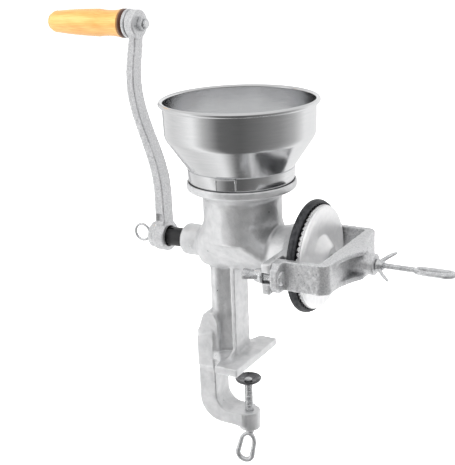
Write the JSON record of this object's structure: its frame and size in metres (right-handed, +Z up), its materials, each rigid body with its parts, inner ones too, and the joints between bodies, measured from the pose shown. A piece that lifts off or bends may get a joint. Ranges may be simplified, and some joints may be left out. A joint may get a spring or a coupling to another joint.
{
  "type": "grain mill",
  "caption": "Hand-cranked table-clamp grain mill: cast body with sheet hopper, feed worm, grinding burrs, yoke with adjusting screw, and crank with wooden grip.",
  "frame": {"origin": "on the clamp screw's axis, on the flat underside of the table plate, which is the face that rests on the table", "axes": "+Z up, out of the table; +X along the shaft from the crank towards the burrs"},
  "size_m": [0.3762, 0.1456, 0.4138],
  "materials": {
    "tinned_cast_iron": "tinned, satin, fine sand-cast grain",
    "polished_stainless": "polished sheet",
    "dark_cast_iron": "bare dark iron",
    "bright_zinc": "bright zinc plated",
    "black_nylon": "moulded, satin",
    "turned_iron": "turned and tinned",
    "bearing_steel": "ground and polished",
    "black_nickel": "black nickel plated",
    "lacquered_beech": "clear lacquered"
  },
  "bodies": {
    "frame": {"body_casting": "tinned_cast_iron", "stationary_burr": "dark_cast_iron", "burr_screws": "bright_zinc", "burr_nuts": "bright_zinc", "shaft_bush": "black_nylon", "yoke": "tinned_cast_iron", "front_yoke_bolt": "bright_zinc", "back_yoke_bolt": "bright_zinc"},
    "hopper": {"hopper_bowl": "polished_stainless", "hopper_collar": "polished_stainless"},
    "drive": {"feed_worm_shaft": "tinned_cast_iron", "drive_pin": "bright_zinc", "crank_arm": "tinned_cast_iron", "crank_washer": "bright_zinc", "grip_bolt": "bright_zinc", "grip_washer": "bright_zinc", "grip_nut": "bright_zinc"},
    "crank_screw": {"crank_ring_screw": "bright_zinc"},
    "burr_head": {"burr_carrier": "turned_iron", "rotating_burr": "turned_iron", "carrier_screws": "bright_zinc", "thrust_ball": "bearing_steel"},
    "grip": {"wooden_grip": "lacquered_beech"},
    "feed": {"thrust_cap": "bright_zinc"},
    "adjuster": {"adjusting_screw": "bright_zinc"},
    "lock_nut": {"lock_wing_nut": "bright_zinc"},
    "front_nut": {"front_wing_nut": "bright_zinc"},
    "back_nut": {"back_wing_nut": "bright_zinc"},
    "pad": {"clamp_pad": "black_nickel", "pad_rivet": "bright_zinc"},
    "clamp": {"clamp_screw": "bright_zinc"}
  },
  "joints": [
    {"name": "crank_spin", "type": "hinge", "parent": "frame", "child": "drive", "pos_m": [0, 0, 0.107], "axis": [1, 0, 0], "continuous": true},
    {"name": "crank_screw_turn", "type": "hinge", "parent": "drive", "child": "crank_screw", "pos_m": [-0.105, 0, 0.107], "axis": [1, 0, 0], "continuous": true},
    {"name": "burr_float", "type": "slide", "parent": "drive", "child": "burr_head", "axis": [1, 0, 0], "range_m": [0, 0.0025]},
    {"name": "grip_spin", "type": "hinge", "parent": "drive", "child": "grip", "pos_m": [-0.15, 0, 0.295], "axis": [1, 0, 0], "continuous": true},
    {"name": "adjust_travel", "type": "slide", "parent": "frame", "child": "feed", "axis": [1, 0, 0], "range_m": [0, 0.0025]},
    {"name": "adjust_turn", "type": "hinge", "parent": "feed", "child": "adjuster", "pos_m": [0.13, 0, 0.107], "axis": [1, 0, 0], "range_deg": [0, 900]},
    {"name": "lock_nut_turn", "type": "hinge", "parent": "frame", "child": "lock_nut", "pos_m": [0.125, 0, 0.107], "axis": [1, 0, 0], "range_deg": [0, 180]},
    {"name": "front_nut_turn", "type": "hinge", "parent": "frame", "child": "front_nut", "pos_m": [0.048, -0.06, 0.107], "axis": [1, 0, 0], "range_deg": [-180, 0]},
    {"name": "back_nut_turn", "type": "hinge", "parent": "frame", "child": "back_nut", "pos_m": [0.048, 0.06, 0.107], "axis": [1, 0, 0], "range_deg": [-180, 0]},
    {"name": "clamp_travel", "type": "slide", "parent": "frame", "child": "pad", "axis": [0, 0, 1], "range_m": [-0.024, 0.004]},
    {"name": "clamp_turn", "type": "hinge", "parent": "pad", "child": "clamp", "pos_m": [0, 0, -0.06], "axis": [0, 0, 1], "range_deg": [-7200, 1250]},
    {"name": "hopper_lift", "type": "slide", "parent": "frame", "child": "hopper", "axis": [0, 0, 1], "range_m": [0, 0.06]}
  ],
  "couplings": [
    {"joint": "burr_float", "follows": "adjust_travel", "ratio": 1},
    {"joint": "adjust_turn", "follows": "adjust_travel", "rad_per_m": 6283.2},
    {"joint": "clamp_turn", "follows": "clamp_travel", "rad_per_m": 5026.5}
  ]
}
